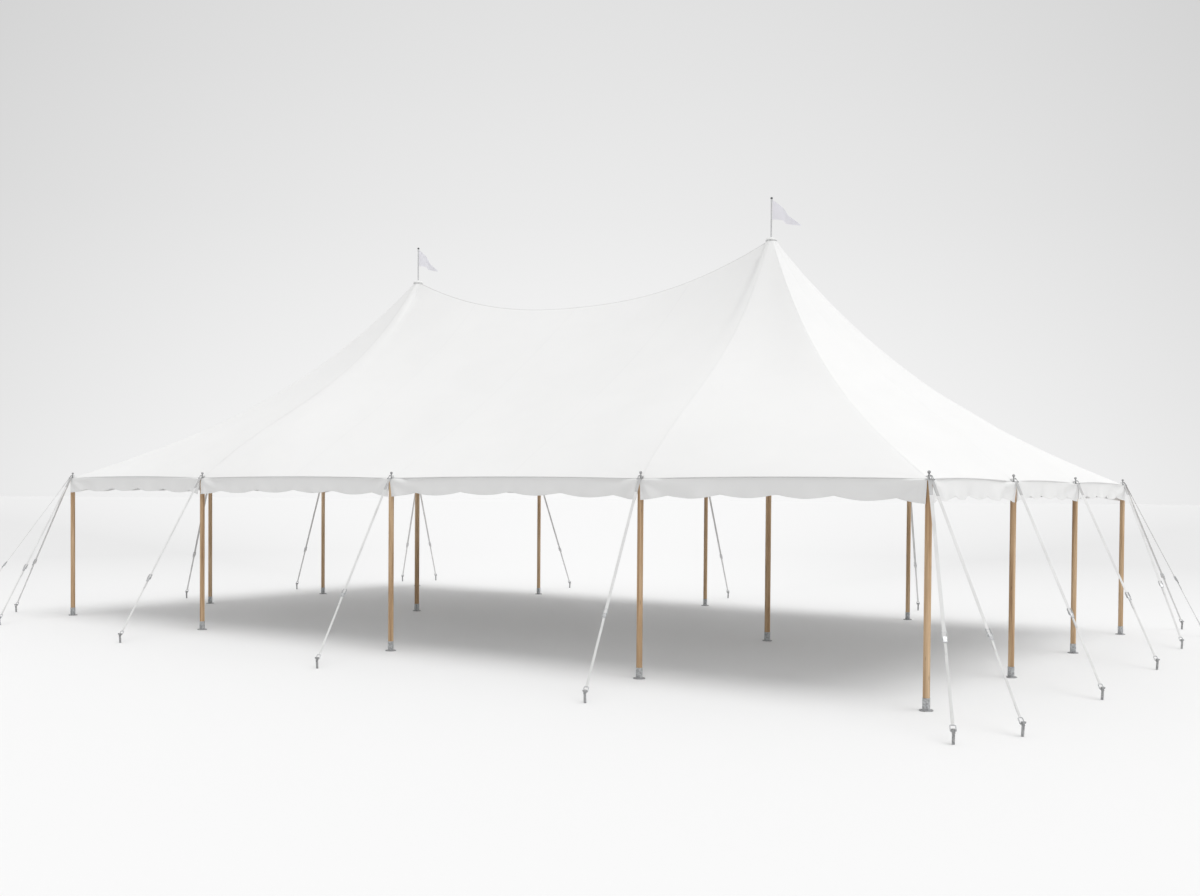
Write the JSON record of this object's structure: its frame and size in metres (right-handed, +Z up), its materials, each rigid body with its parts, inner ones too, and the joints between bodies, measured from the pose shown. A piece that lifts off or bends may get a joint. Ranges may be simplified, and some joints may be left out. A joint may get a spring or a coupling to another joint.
{
  "type": "marquee tent",
  "caption": "Pole tent with a white two-peak tension canopy, scalloped valances, wooden poles in steel feet, webbing guys to stakes, and a pennant on each peak.",
  "frame": {"origin": "on the ground under the middle of the canopy, at the centre of the outermost stakes' box", "axes": "+X along the long side, towards the right end; +Y towards the back; +Z up"},
  "size_m": [18.7938, 12.7736, 6.935],
  "materials": {
    "canvas": "satin",
    "pole_wood": "oiled",
    "galvanized_steel": "galvanized",
    "webbing": "woven",
    "painted_metal": "satin",
    "pennant_cloth": "woven"
  },
  "bodies": {
    "root": {"canopy_middle": "canvas", "canopy_end_left": "canvas", "canopy_end_right": "canvas", "valance_front": "canvas", "valance_back": "canvas", "valance_left": "canvas", "valance_right": "canvas", "pole_front_1": "pole_wood", "pole_front_2": "pole_wood", "pole_front_3": "pole_wood", "pole_front_4": "pole_wood", "pole_front_5": "pole_wood", "pole_back_1": "pole_wood", "pole_back_2": "pole_wood", "pole_back_3": "pole_wood", "pole_back_4": "pole_wood", "pole_back_5": "pole_wood", "pole_left_1": "pole_wood", "pole_left_2": "pole_wood", "pole_right_1": "pole_wood", "pole_right_2": "pole_wood", "foot_front_1": "galvanized_steel", "foot_front_2": "galvanized_steel", "foot_front_3": "galvanized_steel", "foot_front_4": "galvanized_steel", "foot_front_5": "galvanized_steel", "foot_back_1": "galvanized_steel", "foot_back_2": "galvanized_steel", "foot_back_3": "galvanized_steel", "foot_back_4": "galvanized_steel", "foot_back_5": "galvanized_steel", "foot_left_1": "galvanized_steel", "foot_left_2": "galvanized_steel", "foot_right_1": "galvanized_steel", "foot_right_2": "galvanized_steel", "guy_front_1": "webbing", "guy_front_2": "webbing", "guy_front_3": "webbing", "guy_front_4": "webbing", "guy_front_5": "webbing", "guy_back_1": "webbing", "guy_back_2": "webbing", "guy_back_3": "webbing", "guy_back_4": "webbing", "guy_back_5": "webbing", "guy_left_1": "webbing", "guy_left_2": "webbing", "guy_right_1": "webbing", "guy_right_2": "webbing", "centre_pole_left": "pole_wood", "centre_foot_left": "galvanized_steel", "peak_cap_left": "painted_metal", "pennant_left": "pennant_cloth", "centre_pole_right": "pole_wood", "centre_foot_right": "galvanized_steel", "peak_cap_right": "painted_metal", "pennant_right": "pennant_cloth"}
  },
  "joints": []
}
